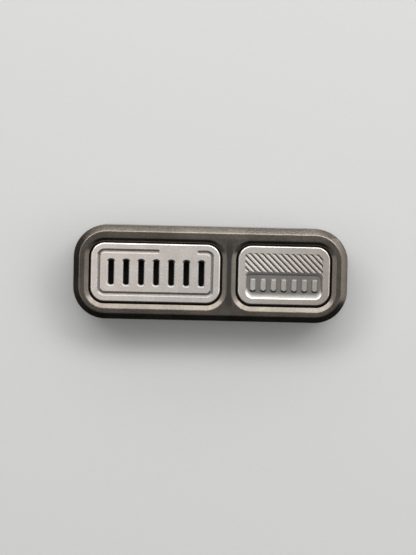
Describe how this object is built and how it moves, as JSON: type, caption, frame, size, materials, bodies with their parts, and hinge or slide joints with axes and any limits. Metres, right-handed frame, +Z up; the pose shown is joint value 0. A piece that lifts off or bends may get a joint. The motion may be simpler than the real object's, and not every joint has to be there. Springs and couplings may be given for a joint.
{
  "type": "fidget slider",
  "caption": "Pocket metal fidget slider: magnet-held halves slide along each other on glide rails; dark chamfered frames hold a slotted panel and a hatched panel with a ribbed thumb pocket.",
  "frame": {"origin": "centre of the rear face, on which the slider lies", "axes": "+X along the slider towards the hatched panel, +Y across it, +Z up out of the front face"},
  "size_m": [0.056, 0.0192, 0.0114],
  "materials": {
    "dark_metal": "dark coated, satin",
    "blasted_steel": "bead blasted, bright edges",
    "nickel": "nickel plated",
    "screw_steel": "plain steel",
    "glide_polymer": "matte"
  },
  "bodies": {
    "rear_half": {"rear_frame": "dark_metal", "rear_long_panel": "blasted_steel", "rear_short_panel": "blasted_steel", "glide_rail_1": "glide_polymer", "glide_rail_2": "glide_polymer", "rear_magnet_1": "nickel", "rear_magnet_2": "nickel", "rear_magnet_3": "nickel", "rear_magnet_4": "nickel", "rear_magnet_5": "nickel", "rear_screw_1": "screw_steel", "rear_screw_2": "screw_steel", "rear_screw_3": "screw_steel", "rear_screw_4": "screw_steel"},
    "front_half": {"front_frame": "dark_metal", "vent_panel": "blasted_steel", "hatched_panel": "blasted_steel", "front_magnet_1": "nickel", "front_magnet_2": "nickel", "front_magnet_3": "nickel", "front_magnet_4": "nickel", "front_magnet_5": "nickel", "front_screw_1": "screw_steel", "front_screw_2": "screw_steel", "front_screw_3": "screw_steel", "front_screw_4": "screw_steel"}
  },
  "joints": [
    {"name": "half_slide", "type": "slide", "parent": "rear_half", "child": "front_half", "axis": [1, 0, 0], "range_m": [-0.018, 0.018]}
  ]
}
